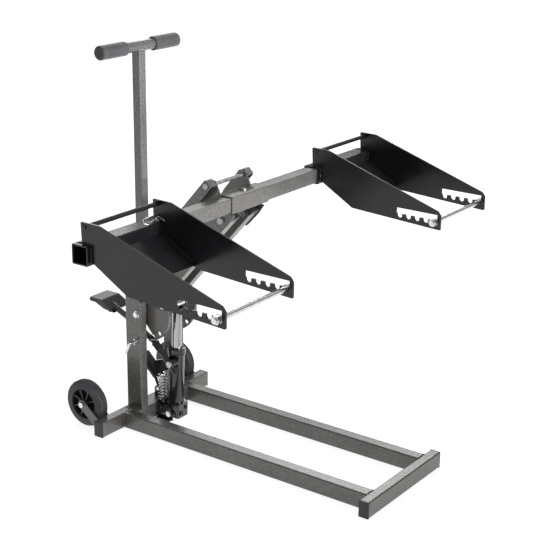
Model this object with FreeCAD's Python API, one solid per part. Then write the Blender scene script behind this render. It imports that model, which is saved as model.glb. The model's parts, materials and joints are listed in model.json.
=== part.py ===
import FreeCAD, Part
import math
import os

os.makedirs("parts", exist_ok=True)

# Foot-pumped hydraulic lift that raises the front of a ride-on mower.
# Frame: X across (left side is -X), +Y to the rear (wheels, pedals), Z up,
# floor at Z = 0, origin under the middle of the bounding box.  Lengths in mm.

# ---- driving dimensions -------------------------------------------------
rear_y = 342.0            # front face of the rear stubs
tube_h = 50.0             # height of every base tube
tube_wall = 2.5
rail_in = 122.0           # inner face of a base rail from the middle plane
rail_w = 38.0
rail_len = 897.0
front_bar_t = 32.0
front_bar_half = 195.0
stub_t = 34.0
stub_half = 256.0
cross_depth = 60.0        # deep cross-member the posts stand on
cap_t = 4.0               # head of a push-in plastic end cap

post_in = 73.0            # inner face of a post from the middle plane
post_w = 32.0
post_top = 528.0
brace_h = 30.0
handle_sq = 30.0
handle_z = 1174.0         # axis of the push bar
handle_half = 173.0
bar_r = 16.0
grip_r = 21.5
grip_len = 113.0

wheel_r = 75.0
tyre_w = 38.0
wheel_x = 214.0           # middle plane of a wheel
wheel_dy = 104.0          # axle behind the stub front face
wheel_z = 78.0
axle_r = 5.0

arm_pivot_dy = -14.0      # lower pivot of the lift arms
arm_pivot_z = 367.0
arm_reach_y = 307.0       # from the lower pivot to the beam pivot
arm_reach_z = 349.0
arm_in = 30.0
arm_w = 33.0
arm_depth = 40.0
link_dy = 35.0            # upper pivots relative to the lower ones
link_dz = 102.0
link_in = 76.0            # inner flange of an upper link, inside the post
link_w = 26.0
link_depth = 30.0
link_nose = 16.0          # square front end beyond the front pivot
plate_in = 64.0           # quadrant plates
ear_in = 70.0             # carriage ears
plate_t = 4.0
quad_r = 98.0
lock_hole_r = 85.0
lock_hole_d = 13.0
lock_angle = 88.0         # lock pin, degrees below forward
lock_pitch = 20.5
pivot_r = 8.0             # pivot shafts
fit = 0.05                # radial running clearance

beam_dy = -334.0          # middle of the cross beam
beam_z = 766.0
beam_sq = 45.0            # tube through the sleeve that both pans slide on
sleeve_sq = 52.0
sleeve_wall = 3.0
beam_half = 600.0         # beam tube ends inside the pan sleeves
pan_sleeve_sq = 54.0
pan_sleeve_wall = 4.0
sleeve_x0 = -72.0
sleeve_x1 = 104.0

pan_in = 377.0            # inboard plate, inner face
pan_out = 660.0           # outboard plate, outer face
pan_t = 5.0
pan_sleeve_out = 673.0
bar_notch_n = 5
bar_notch_pitch = 30.0
notch_w = 17.0
wheel_bar_r = 7.5

jack_dy = -76.0           # jack axis at the floor level
jack_lean = 2.0           # degrees, top towards the front
cyl_r = 25.0
cyl_top = 240.0
ram_r = 16.0
ram_pin_r = 80.0          # ram pin from the lower pivot
ram_pin_angle = 17.5
roller_r = 12.0

pump_dy = -38.0           # pump plunger axis
pump_x = -18.0
plunger_r = 6.0
spring_r = 12.0
spring_wire = 1.8
fulcrum_dy = -99.5        # pump lever pivot
fulcrum_z = 204.0
lever_x = -40.0           # lower part of the lever, beside the cylinder
pedal_x = -14.0           # rear part of the lever, under the pedal
pad_half = 42.0
pad_dy = 196.0            # crease of the pump pedal
pad_z = 330.0
release_dy = 4.0          # release lever pivot, above the cross-member
release_z = 74.0
release_x = 18.0
release_half = 22.0
lock_pin_r = 5.0

slot_front = 447.0        # pan slot, measured forward from the beam
slot_back = 306.0
slot_top = 54.0           # slot edges below the beam middle
slot_teeth = 72.0
notch_d = 13.0            # depth of a notch
hitch_x = pan_in + 14     # hitch pin through the pan sleeve
hitch_r = 5.0
hitch_dy = -12.0          # hitch pin ahead of the beam middle

V = FreeCAD.Vector


# ---- helpers ---------------------------------------------------------------
def yy(dy):
    """Y position measured from the front face of the rear stubs."""
    return rear_y + dy


def box(x0, x1, y0, y1, z0, z1):
    return Part.makeBox(x1 - x0, y1 - y0, z1 - z0, V(x0, y0, z0))


def cyl_x(r, x0, x1, y, z):
    return Part.makeCylinder(r, x1 - x0, V(x0, y, z), V(1, 0, 0))


def cyl_y(r, y0, y1, x, z):
    return Part.makeCylinder(r, y1 - y0, V(x, y0, z), V(0, 1, 0))


def cyl_z(r, z0, z1, x, y):
    return Part.makeCylinder(r, z1 - z0, V(x, y, z0), V(0, 0, 1))


def hex_x(af, x0, x1, y, z):
    """Hexagonal head or nut, axis along X."""
    r = af / math.sqrt(3)
    pts = []
    for k in range(7):
        a = math.radians(60 * k)
        pts.append(V(x0, y + r * math.cos(a), z + r * math.sin(a)))
    return Part.Face(Part.makePolygon(pts)).extrude(V(x1 - x0, 0, 0))


def hex_y(af, y0, y1, x, z):
    """Hexagonal head or nut, axis along Y."""
    r = af / math.sqrt(3)
    pts = []
    for k in range(7):
        a = math.radians(60 * k)
        pts.append(V(x + r * math.cos(a), y0, z + r * math.sin(a)))
    return Part.Face(Part.makePolygon(pts)).extrude(V(0, y1 - y0, 0))


def rect_tube(x0, x1, y0, y1, z0, z1, axis, wall, corner):
    """Rectangular tube with rounded long edges, open at both ends."""
    outer = box(x0, x1, y0, y1, z0, z1)
    direction = {"x": V(1, 0, 0), "y": V(0, 1, 0), "z": V(0, 0, 1)}[axis]
    along = []
    for e in outer.Edges:
        t = e.tangentAt(e.FirstParameter)
        if abs(t.dot(direction)) > 0.99:
            along.append(e)
    outer = outer.makeFillet(corner, along)
    gx = 0.0 if axis == "x" else wall
    gy = 0.0 if axis == "y" else wall
    gz = 0.0 if axis == "z" else wall
    return outer.cut(box(x0 + gx, x1 - gx, y0 + gy, y1 - gy, z0 + gz, z1 - gz))


def plate_yz(points, x0, x1, rounds=None):
    """Flat plate cut to a YZ outline; rounds = {corner: radius}."""
    n = len(points)
    rounds = rounds or {}
    edges = []
    starts = []
    ends = []
    for i in range(n):
        p = V(x0, points[i][0], points[i][1])
        if i in rounds:
            a = V(x0, points[i - 1][0], points[i - 1][1])
            b = V(x0, points[(i + 1) % n][0], points[(i + 1) % n][1])
            ua = (a - p).normalize()
            ub = (b - p).normalize()
            half = math.acos(max(-1.0, min(1.0, ua.dot(ub)))) / 2
            d = rounds[i] / math.tan(half)
            mid = (ua + ub).normalize()
            c = p + mid * (rounds[i] / math.sin(half))
            starts.append(p + ua * d)
            ends.append(p + ub * d)
            edges.append(Part.Arc(p + ua * d, c - mid * rounds[i], p + ub * d).toShape())
        else:
            starts.append(p)
            ends.append(p)
    for i in range(n):
        j = (i + 1) % n
        if (starts[j] - ends[i]).Length > 1e-6:
            edges.append(Part.makeLine(ends[i], starts[j]))
    wire = Part.Wire(Part.__sortEdges__(edges))
    return Part.Face(wire).extrude(V(x1 - x0, 0, 0))


def capsule_yz(ya, za, yb, zb, r, x0, x1):
    """Bar with round ends lying in a YZ plane."""
    length = math.hypot(yb - ya, zb - za)
    ny = -(zb - za) / length * r
    nz = (yb - ya) / length * r
    pts = [(ya + ny, za + nz), (yb + ny, zb + nz), (yb - ny, zb - nz), (ya - ny, za - nz)]
    body = plate_yz(pts, x0, x1)
    body = body.fuse(cyl_x(r, x0, x1, ya, za))
    return body.fuse(cyl_x(r, x0, x1, yb, zb)).removeSplitter()


def rod_through(points, r):
    """Round bar through a list of points, with ball corners."""
    body = None
    for a, b in zip(points[:-1], points[1:]):
        piece = Part.makeCylinder(r, (b - a).Length, a, b - a)
        body = piece if body is None else body.fuse(piece)
    for p in points[1:-1]:
        body = body.fuse(Part.makeSphere(r, p))
    return body


def mirror_x(shape):
    return shape.mirror(V(0, 0, 0), V(1, 0, 0))


def save(name, shape):
    shape.exportStep("parts/" + name + ".step")


# ---- base frame --------------------------------------------------------------
front_y = yy(-rail_len)
rail = rect_tube(rail_in, rail_in + rail_w, front_y, yy(0), 0, tube_h, "y", tube_wall, 4)
save("base_rail_right", rail)
save("base_rail_left", mirror_x(rail))
save("front_crossbar", rect_tube(-front_bar_half, front_bar_half, front_y - front_bar_t, front_y,
                                 0, tube_h, "x", tube_wall, 4))
deep_y0 = yy(stub_t - cross_depth)
save("rear_crossmember", rect_tube(-rail_in, rail_in, deep_y0, yy(stub_t), 0, tube_h, "x", tube_wall, 3))
stub = rect_tube(rail_in, stub_half, yy(0), yy(stub_t), 0, tube_h, "x", tube_wall, 4)
save("rear_stubs", Part.makeCompound([stub, mirror_x(stub)]))

# push-in plastic caps in the four open base ends
caps = []
for side in (-1, 1):
    for half, y0, y1 in ((front_bar_half, front_y - front_bar_t, front_y), (stub_half, yy(0), yy(stub_t))):
        head = box(half, half + cap_t, y0, y1, 0, tube_h)
        plug = box(half - 12, half, y0 + tube_wall, y1 - tube_wall, tube_wall, tube_h - tube_wall)
        cap = head.fuse(plug)
        caps.append(cap if side > 0 else mirror_x(cap))
save("tube_end_caps", Part.makeCompound(caps))

# ---- posts --------------------------------------------------------------------
post_y0 = deep_y0
post_y1 = yy(stub_t)
arm_y = yy(arm_pivot_dy)
arm_z = arm_pivot_z
upper_y = arm_y + link_dy
upper_z = arm_z + link_dz
lock_a = math.radians(lock_angle)
lock_y = arm_y - lock_hole_r * math.cos(lock_a)
lock_z = arm_z - lock_hole_r * math.sin(lock_a)
post = rect_tube(post_in, post_in + post_w, post_y0, post_y1, tube_h, post_top, "z", tube_wall, 4)
post = post.cut(cyl_x(pivot_r, post_in - 1, post_in + post_w + 1, arm_y, arm_z))
post = post.cut(cyl_x(pivot_r - 2, post_in - 1, post_in + post_w + 1, upper_y, upper_z))
# the upper links swing inside the posts, so the front and rear walls are cut away there
fork_front = 405.0
fork_rear = 448.0
slot_x0 = post_in + tube_wall
slot_x1 = post_in + post_w - tube_wall
post = post.cut(box(slot_x0, slot_x1, post_y0 - 1, post_y0 + 10, fork_front, post_top + 1))
post = post.cut(box(slot_x0, slot_x1, post_y1 - 10, post_y1 + 1, fork_rear, post_top + 1))
save("post_right", post)
left_post = mirror_x(post)
left_post = left_post.fuse(cyl_x(8.5, -post_in - post_w - 4, -post_in - post_w, lock_y, lock_z))
left_post = left_post.cut(cyl_x(lock_pin_r + fit, -post_in - post_w - 5, -post_in + 1, lock_y, lock_z))
save("post_left", left_post)

brace_y1 = post_y1
brace_y0 = brace_y1 - brace_h
brace_low = 396.0
brace_high = 494.0
braces = []
for z0 in (brace_low, brace_high):
    b = rect_tube(-post_in, post_in, brace_y0, brace_y1, z0, z0 + brace_h, "x", 2.0, 3)
    b = b.cut(cyl_y(4, brace_y0 - 1, brace_y1 + 1, 0, z0 + brace_h / 2))
    braces.append(b)
save("post_cross_braces", Part.makeCompound(braces))

# ---- push handle ----------------------------------------------------------------
hand_y0 = post_y1
hand_y1 = hand_y0 + handle_sq
hand_y = (hand_y0 + hand_y1) / 2
hand_bot = 384.0
handle = rect_tube(-handle_sq / 2, handle_sq / 2, hand_y0, hand_y1, hand_bot, handle_z, "z", 2.0, 3)
for z0 in (brace_low, brace_high):
    handle = handle.cut(cyl_y(4, hand_y0 - 1, hand_y1 + 1, 0, z0 + brace_h / 2))
handle = handle.cut(cyl_x(bar_r, -60, 60, hand_y, handle_z))
save("handle_tube", handle)
bar = cyl_x(bar_r, -handle_half + 6, handle_half - 6, hand_y, handle_z)
bar = bar.cut(cyl_x(bar_r - 2, -handle_half, handle_half, hand_y, handle_z))
save("handle_bar", bar)
grip = cyl_x(grip_r, handle_half - grip_len, handle_half, hand_y, handle_z)
grip = grip.makeFillet(6, [e for e in grip.Edges if abs(e.BoundBox.XMin - e.BoundBox.XMax) < 0.01])
grip = grip.cut(cyl_x(bar_r, 0, handle_half - 6, hand_y, handle_z))
grip = grip.cut(cyl_x(2.5, handle_half - 8, handle_half + 1, hand_y, handle_z))
save("handle_grips", Part.makeCompound([grip, mirror_x(grip)]))

# frame bolts: two through the braces and the handle, two rear pivots of the upper links,
# and further down the two wheel axles
bolts = []
for z0 in (brace_low, brace_high):
    zc = z0 + brace_h / 2
    b = cyl_y(4, brace_y0 - 8, hand_y1 + 0.5, 0, zc)
    b = b.fuse(hex_y(13, hand_y1, hand_y1 + 5.5, 0, zc))
    b = b.fuse(cyl_y(8, brace_y0 - 1.5, brace_y0, 0, zc))
    b = b.fuse(hex_y(13, brace_y0 - 8, brace_y0 - 1.5, 0, zc))
    bolts.append(b)
link_out = link_in + link_w
link_bolt_r = pivot_r - 2
post_out = post_in + post_w
lb = cyl_x(link_bolt_r, post_in - 8, post_out + 2, upper_y, upper_z)
lb = lb.fuse(cyl_x(10, post_out, post_out + 1.5, upper_y, upper_z))
lb = lb.fuse(hex_x(18, post_out + 1.5, post_out + 8, upper_y, upper_z))
lb = lb.fuse(hex_x(18, post_in - 7, post_in, upper_y, upper_z))
bolts.append(lb)
bolts.append(mirror_x(lb))

# lower pivot shaft with a washer and a split pin at each end
shaft_half = post_in + post_w + 9
shaft = cyl_x(pivot_r, -shaft_half, shaft_half, arm_y, arm_z)
for side in (-1, 1):
    w = cyl_x(11, post_in + post_w, post_in + post_w + 2, arm_y, arm_z)
    pin = cyl_z(1.6, arm_z - 13, arm_z + 12, post_in + post_w + 4.5, arm_y)
    both = w.fuse(pin)
    shaft = shaft.fuse(both if side > 0 else mirror_x(both))
save("lower_pivot_shaft", shaft)

# ---- wheels ---------------------------------------------------------------------
axle_y = yy(wheel_dy)
hub_half = 20.0
strap_t = 4.0
strap_gap = hub_half + 1.5
straps = []
axle_bolts = []
for side in (-1, 1):
    for inner in (wheel_x - strap_gap - strap_t, wheel_x + strap_gap):
        s = capsule_yz(axle_y, wheel_z, yy(stub_t) + 12, 32, 15, inner, inner + strap_t)
        s = s.fuse(plate_yz([(yy(stub_t), 8), (yy(stub_t), 46), (yy(stub_t) + 20, 46), (yy(stub_t) + 20, 14)],
                            inner, inner + strap_t))
        s = s.cut(box(inner - 1, inner + strap_t + 1, yy(0), yy(stub_t), 0, 60))
        s = s.cut(cyl_x(axle_r, inner - 1, inner + strap_t + 1, axle_y, wheel_z))
        s = s.removeSplitter()
        straps.append(s if side > 0 else mirror_x(s))
    reach = strap_gap + strap_t
    ab = cyl_x(axle_r, wheel_x - reach - 9, wheel_x + reach + 1, axle_y, wheel_z)
    ab = ab.fuse(hex_x(16, wheel_x + reach, wheel_x + reach + 6, axle_y, wheel_z))
    ab = ab.fuse(hex_x(16, wheel_x - reach - 8, wheel_x - reach, axle_y, wheel_z))
    axle_bolts.append(ab if side > 0 else mirror_x(ab))
save("wheel_straps", Part.makeCompound(straps))
save("frame_bolts", Part.makeCompound(bolts + axle_bolts))

rim_r = 52.0
tyre = cyl_x(wheel_r, wheel_x - tyre_w / 2, wheel_x + tyre_w / 2, axle_y, wheel_z)
tyre = tyre.makeFillet(9, [e for e in tyre.Edges if abs(e.BoundBox.XMin - e.BoundBox.XMax) < 0.01])
tyre = tyre.cut(cyl_x(rim_r, wheel_x - tyre_w, wheel_x + tyre_w, axle_y, wheel_z))
hub = cyl_x(rim_r, wheel_x - tyre_w / 2 + 3, wheel_x + tyre_w / 2 - 3, axle_y, wheel_z)
hub = hub.cut(cyl_x(rim_r - 6, wheel_x - tyre_w, wheel_x - 4, axle_y, wheel_z))
hub = hub.cut(cyl_x(rim_r - 6, wheel_x + 4, wheel_x + tyre_w, axle_y, wheel_z))
hub = hub.fuse(cyl_x(14, wheel_x - hub_half, wheel_x + hub_half, axle_y, wheel_z))
for k in range(8):
    rib = box(wheel_x - 13, wheel_x + 13, axle_y - 2, axle_y + 2, wheel_z + 10, wheel_z + rim_r - 3)
    rib.rotate(V(wheel_x, axle_y, wheel_z), V(1, 0, 0), 45 * k)
    hub = hub.fuse(rib)
hub = hub.cut(cyl_x(axle_r + fit, wheel_x - 30, wheel_x + 30, axle_y, wheel_z)).removeSplitter()
for name, piece in (("tyre", tyre), ("hub", hub)):
    save("wheel_" + name + "_right", piece)
    save("wheel_" + name + "_left", mirror_x(piece))

# ---- lift arms, lock quadrants and ram pin ---------------------------------------
beam_piv_y = arm_y - arm_reach_y
beam_piv_z = arm_z + arm_reach_z
arm_len = math.hypot(arm_reach_y, arm_reach_z)
ay = -arm_reach_y / arm_len
az = arm_reach_z / arm_len
ram_a = math.radians(ram_pin_angle)
ram_y = arm_y - ram_pin_r * math.cos(ram_a)
ram_z = arm_z + ram_pin_r * math.sin(ram_a)
arm_r = arm_depth / 2
toe = 28.5                # lower corner of the arm end beyond the beam pivot


def arm_pts(pairs):
    """(along, across) pairs of the arm axis as (y, z); across is positive on the upper side."""
    return [(arm_y + ay * s + az * n, arm_z + az * s - ay * n) for s, n in pairs]


outline = arm_pts([(-arm_r, -arm_r), (arm_len + toe, -arm_r), (arm_len + arm_r, arm_r), (-arm_r, arm_r)])
arm = plate_yz(outline, arm_in, arm_in + arm_w, {0: arm_r - 0.1, 1: 3, 2: arm_r - 0.1, 3: arm_r - 0.1})
arm = arm.makeFillet(2.5, [e for e in arm.Edges if abs(e.BoundBox.XMin - e.BoundBox.XMax) < 0.01])
hollow = capsule_yz(arm_y + ay * 26, arm_z + az * 26, beam_piv_y - ay * 26, beam_piv_z - az * 26,
                    arm_r - tube_wall, arm_in + tube_wall, arm_in + arm_w - tube_wall)
arm = arm.cut(hollow)
# relief that lets the corner of the centre sleeve down into the arm at the lowest position
relief = arm_pts([(arm_len - 7.5, arm_r + 3), (arm_len - 26, 7.5), (arm_len - 38.5, arm_r + 3)])
arm = arm.cut(plate_yz(relief, arm_in - 1, arm_in + arm_w + 1, {1: 3}))
arm = arm.cut(cyl_x(pivot_r + fit, arm_in - 1, arm_in + arm_w + 1, arm_y, arm_z))
arm = arm.cut(cyl_x(link_bolt_r + fit, arm_in - 1, arm_in + arm_w + 1, beam_piv_y, beam_piv_z))

quad_top = 20.0
quad = cyl_x(quad_r, plate_in, plate_in + plate_t, arm_y, arm_z)
quad = quad.cut(box(plate_in - 1, plate_in + plate_t + 1, arm_y - 120, arm_y + 120,
                    arm_z + quad_top, arm_z + 120))
cut_back = box(plate_in - 1, plate_in + plate_t + 1, 0, 150, -150, 60)
cut_back.rotate(V(0, 0, 0), V(1, 0, 0), -40)
cut_back.translate(V(0, arm_y + 22, arm_z - 10))
quad = quad.cut(cut_back)
# clear of the lower brace as the arms come down
quad = quad.cut(box(plate_in - 1, plate_in + plate_t + 1, arm_y + 20, arm_y + 120, arm_z - 13, arm_z + 40))
neck = capsule_yz(arm_y, arm_z, arm_y + ay * 120, arm_z + az * 120, arm_r - 2, plate_in, plate_in + plate_t)
quad = quad.fuse(neck)
lip = cyl_x(quad_r, plate_in - 6, plate_in + plate_t, arm_y, arm_z)
lip = lip.cut(cyl_x(quad_r - 4, plate_in - 7, plate_in + plate_t + 1, arm_y, arm_z))
lip = lip.cut(box(plate_in - 8, plate_in + plate_t + 2, arm_y - 120, arm_y + 120, arm_z + 6, arm_z + 120))
lip_back = box(plate_in - 8, plate_in + plate_t + 2, arm_y - 14, arm_y + 150, arm_z - 150, arm_z + 150)
quad = quad.fuse(lip.cut(lip_back))
quad = quad.cut(cyl_x(pivot_r + fit, plate_in - 8, plate_in + plate_t + 1, arm_y, arm_z))
for k in range(3):
    a = math.radians(lock_angle - lock_pitch * k)
    hy = arm_y - lock_hole_r * math.cos(a)
    hz = arm_z - lock_hole_r * math.sin(a)
    quad = quad.cut(cyl_x(lock_hole_d / 2, plate_in - 8, plate_in + plate_t + 1, hy, hz))
quad = quad.removeSplitter()
spacer = cyl_x(14, arm_in + arm_w, plate_in, arm_y, arm_z)
spacer = spacer.cut(cyl_x(pivot_r + fit, arm_in, plate_in + 1, arm_y, arm_z))
spacer = spacer.fuse(plate_yz([(arm_y + ay * 60 - 8, arm_z + az * 60), (arm_y + ay * 100 - 8, arm_z + az * 100),
                               (arm_y + ay * 100 + 8, arm_z + az * 100), (arm_y + ay * 60 + 8, arm_z + az * 60)],
                              arm_in + arm_w, plate_in))
quad = quad.fuse(spacer).removeSplitter()
save("lock_quadrant_right", quad)
save("lock_quadrant_left", mirror_x(quad))

# lugs welded inside the arms carry the cross pin and its roller
lug_t = 5.0
lug_in = arm_in - lug_t
lug = capsule_yz(ram_y, ram_z, ram_y + 22, ram_z + 52, 15, lug_in, arm_in)
arm = arm.fuse(lug).removeSplitter()
arm = arm.cut(cyl_x(pivot_r - 1, lug_in - 1, arm_in + 1, ram_y, ram_z))
save("lift_arm_right", arm)
save("lift_arm_left", mirror_x(arm))
cross = cyl_x(pivot_r - 1, -arm_in - 12, arm_in + 12, ram_y, ram_z)
cross = cross.fuse(cyl_x(roller_r, -lug_in + 0.5, lug_in - 0.5, ram_y, ram_z))
for side in (-1, 1):
    nut = hex_x(21, arm_in, arm_in + 9, ram_y, ram_z)
    cross = cross.fuse(nut if side > 0 else mirror_x(nut))
save("ram_cross_pin", cross)

# ---- upper links ------------------------------------------------------------------
up_front_y = beam_piv_y + link_dy
up_front_z = beam_piv_z + link_dz
flange_t = 3.0
link_r = link_depth / 2


def link_pts(pairs):
    """(along, across) pairs of the upper link axis as (y, z); across is positive on the upper side."""
    return [(upper_y + ay * s + az * n, upper_z + az * s - ay * n) for s, n in pairs]


nose = arm_len + link_nose
link = plate_yz(link_pts([(0, -link_r), (nose, -link_r), (nose, link_r), (0, link_r)]), link_in, link_out,
                {1: 8, 2: 8})
link = link.fuse(cyl_x(link_r, link_in, link_out, upper_y, upper_z)).removeSplitter()
trough = link_pts([(-40, -link_r - 5), (nose - flange_t, -link_r - 5), (nose - flange_t, link_r - flange_t),
                   (24, link_r - flange_t), (8, link_r + 5), (-40, link_r + 5)])
link = link.cut(plate_yz(trough, link_in + flange_t, link_out - flange_t))
link = link.cut(cyl_x(link_bolt_r + fit, link_in - 1, link_out + 1, upper_y, upper_z))
link_front_clear = 0.4    # the opened pivot of the parallelogram
link = link.cut(cyl_x(link_bolt_r + link_front_clear, link_in - 1, link_out + 1, up_front_y, up_front_z))
save("upper_link_right", link)
save("upper_link_left", mirror_x(link))

# ---- carriage -----------------------------------------------------------------------
beam_y = yy(beam_dy)
hitch_y = beam_y + hitch_dy
hs = sleeve_sq / 2
sleeve = rect_tube(sleeve_x0, sleeve_x1, beam_y - hs, beam_y + hs, beam_z - hs, beam_z + hs, "x",
                   sleeve_wall, 4)
clamp_x = 16.0
sleeve = sleeve.cut(cyl_z(3.4, beam_z, beam_z + hs + 1, clamp_x, beam_y))
save("centre_sleeve", sleeve)

ear_pts = [(beam_y + hs, beam_z + hs - 2), (beam_y + hs - 4, beam_z + hs),
           (beam_y + hs - 10, beam_z + hs), (up_front_y - 13, up_front_z + 13),
           (up_front_y + 9, up_front_z + 17), (beam_y + 129, beam_z - 18),
           (beam_y + 62, beam_z - 102), (beam_y + 29, beam_z - 102), (beam_y - 15, beam_z - 55),
           (beam_y - 35, beam_z - hs), (beam_y + hs, beam_z - hs)]
ear = plate_yz(ear_pts, ear_in, ear_in + plate_t, {3: 11, 4: 11, 5: 24, 6: 14, 7: 10, 8: 6})
ear = ear.cut(cyl_x(link_bolt_r, ear_in - 1, ear_in + plate_t + 1, up_front_y, up_front_z))
ear = ear.cut(cyl_x(link_bolt_r, ear_in - 1, ear_in + plate_t + 1, beam_piv_y, beam_piv_z))
save("carriage_ear_right", ear)
save("carriage_ear_left", mirror_x(ear))

rod_half = link_out + 3
rod = cyl_x(link_bolt_r, -rod_half, rod_half, up_front_y, up_front_z)
for side in (-1, 1):
    button = cyl_x(8.5, link_out + 0.6, rod_half, up_front_y, up_front_z)
    tube = cyl_x(9, link_in + flange_t + 0.5, link_out - flange_t - 0.5, up_front_y, up_front_z)
    grp = button.fuse(tube)
    rod = rod.fuse(grp if side > 0 else mirror_x(grp))
save("upper_pivot_rod", rod.removeSplitter())

# bolt through each arm end and ear
pbolts = []
for side in (-1, 1):
    b = cyl_x(link_bolt_r, arm_in - 8, ear_in + plate_t + 6, beam_piv_y, beam_piv_z)
    b = b.fuse(cyl_x(11, arm_in + arm_w + 0.5, ear_in, beam_piv_y, beam_piv_z))
    b = b.fuse(cyl_x(10, ear_in + plate_t, ear_in + plate_t + 1.2, beam_piv_y, beam_piv_z))
    b = b.fuse(hex_x(18, ear_in + plate_t + 1.2, ear_in + plate_t + 8, beam_piv_y, beam_piv_z))
    b = b.fuse(hex_x(18, arm_in - 9, arm_in - 1, beam_piv_y, beam_piv_z))
    pbolts.append(b if side > 0 else mirror_x(b))
clamp = cyl_z(3.4, beam_z + beam_sq / 2 + 0.6, beam_z + hs, clamp_x, beam_y)
clamp = clamp.fuse(cyl_z(8, beam_z + hs, beam_z + hs + 5, clamp_x, beam_y))
save("carriage_bolts", Part.makeCompound(pbolts + [clamp]))

# ---- beam tube that both pans slide on --------------------------------------------------
bh = beam_sq / 2
btube = rect_tube(-beam_half, beam_half, beam_y - bh, beam_y + bh, beam_z - bh, beam_z + bh, "x", tube_wall, 3)
save("beam_tube", btube)


# ---- wheel pans ------------------------------------------------------------------------
def pan_profile(x0, x1):
    """Side plate of a wheel pan with the notched slot near its front end."""
    pts = [(6, 85), (-55, 84), (-449, -43), (-459, -56), (-459, -100), (-147, -84), (2, 1)]
    pts = [(beam_y + p[0], beam_z + p[1]) for p in pts]
    body = plate_yz(pts, x0, x1, {0: 4, 1: 18, 2: 14, 3: 8, 4: 4, 5: 10, 6: 3})
    front = beam_y - slot_front
    back = beam_y - slot_back
    body = body.cut(box(x0 - 1, x1 + 1, front, back, beam_z - slot_teeth, beam_z - slot_top))
    for k in range(bar_notch_n):
        yc = bar_y + bar_notch_pitch * k
        body = body.cut(box(x0 - 1, x1 + 1, yc - notch_w / 2, yc + notch_w / 2,
                            beam_z - slot_teeth - notch_d + notch_w / 2, beam_z - slot_teeth + 1))
        body = body.cut(cyl_x(notch_w / 2, x0 - 1, x1 + 1, yc, beam_z - slot_teeth - notch_d + notch_w / 2))
    body = body.cut(box(x0 - 1, x1 + 1, beam_y - ps, beam_y + ps, beam_z - ps, beam_z + ps))
    return body.cut(cyl_x(5, x0 - 1, x1 + 1, rod_y, rod_z))


ps = pan_sleeve_sq / 2
bar_y = beam_y - slot_front + notch_w / 2 + 0.5
bar_z = beam_z - slot_teeth - notch_d + wheel_bar_r + 0.7
rod_y = beam_y - 7
rod_z = beam_z + 72
outer_plate = pan_profile(pan_out - pan_t, pan_out)
inner_plate = pan_profile(pan_in, pan_in + pan_t)
sleeve_x = rect_tube(pan_in - 12, pan_sleeve_out, beam_y - ps, beam_y + ps, beam_z - ps, beam_z + ps, "x",
                     pan_sleeve_wall, 4)
sleeve_x = sleeve_x.cut(cyl_z(hitch_r, beam_z, beam_z + ps + 1, hitch_x, hitch_y))
x_a = pan_in + pan_t
x_b = pan_out - pan_t
sheet_t = 4.0
sheet_slope = 0.570
sheet_back = beam_y - ps
sheet_front = beam_y - 143.0
back_z = beam_z + 10 + sheet_slope * (sheet_back - beam_y - 2)
front_z = beam_z + 10 + sheet_slope * (sheet_front - beam_y - 2)
drop = sheet_t * math.hypot(1, sheet_slope)
sheet = plate_yz([(sheet_back, back_z), (sheet_front, front_z), (sheet_front + 2, front_z - drop + 1.2),
                  (sheet_back, back_z - drop)], x_a, x_b)
back_rod = cyl_x(5, pan_in - 2.5, pan_out + 2.5, rod_y, rod_z)
back_rod = back_rod.fuse(cyl_x(6.5, x_a, x_b, rod_y, rod_z))
for x0 in (pan_in - 2.5, pan_out + 0.5):
    back_rod = back_rod.fuse(cyl_x(6, x0, x0 + 2, rod_y, rod_z))
hitch_top = beam_z + ps + 13
hitch_end = hitch_x + 41
hitch = rod_through([V(hitch_x, hitch_y, beam_z + bh + 0.4), V(hitch_x, hitch_y, hitch_top),
                     V(hitch_end, hitch_y, hitch_top)], hitch_r - fit)
hitch = hitch.fuse(cyl_z(8, beam_z + ps + 0.4, beam_z + ps + 3, hitch_x, hitch_y))
clip_r = 1.4
hitch = hitch.fuse(rod_through([V(hitch_end - 4, hitch_y, hitch_top), V(hitch_end + 9, hitch_y, hitch_top + 2),
                                V(hitch_end + 13, hitch_y - 6, hitch_top - 8),
                                V(hitch_end + 2, hitch_y - 10, beam_z + ps + clip_r + 0.6),
                                V(hitch_x - 2, hitch_y - 10, beam_z + ps + clip_r + 0.6),
                                V(hitch_x, hitch_y, beam_z + ps + 2)], clip_r))
wbar = cyl_x(wheel_bar_r, pan_in - 20, pan_out + 20, bar_y, bar_z)
for x0 in (pan_in - 3, pan_out + 1):
    wbar = wbar.fuse(cyl_x(12.5, x0, x0 + 2, bar_y, bar_z))
for x0 in (pan_in - 13, pan_out + 3):
    wbar = wbar.fuse(hex_x(22, x0, x0 + 10, bar_y, bar_z))
pan = (("outer_plate", outer_plate), ("inner_plate", inner_plate), ("sleeve", sleeve_x),
       ("back_sheet", sheet), ("back_rod", back_rod), ("hitch_pin", hitch), ("wheel_bar", wbar))
for name, piece in pan:
    save("pan_right_" + name, piece)
    save("pan_left_" + name, mirror_x(piece))


# ---- hydraulic jack (built upright, then leaned forward about the floor line) -----------
jack_y = yy(jack_dy)


def lean(shape):
    shape = shape.copy()
    shape.rotate(V(0, jack_y, 0), V(1, 0, 0), jack_lean)
    return shape


def unlean(y, z):
    """Point of the upright jack that lands on (y, z) once leaned."""
    a = math.radians(-jack_lean)
    dy = y - jack_y
    return jack_y + dy * math.cos(a) - z * math.sin(a), dy * math.sin(a) + z * math.cos(a)


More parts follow.
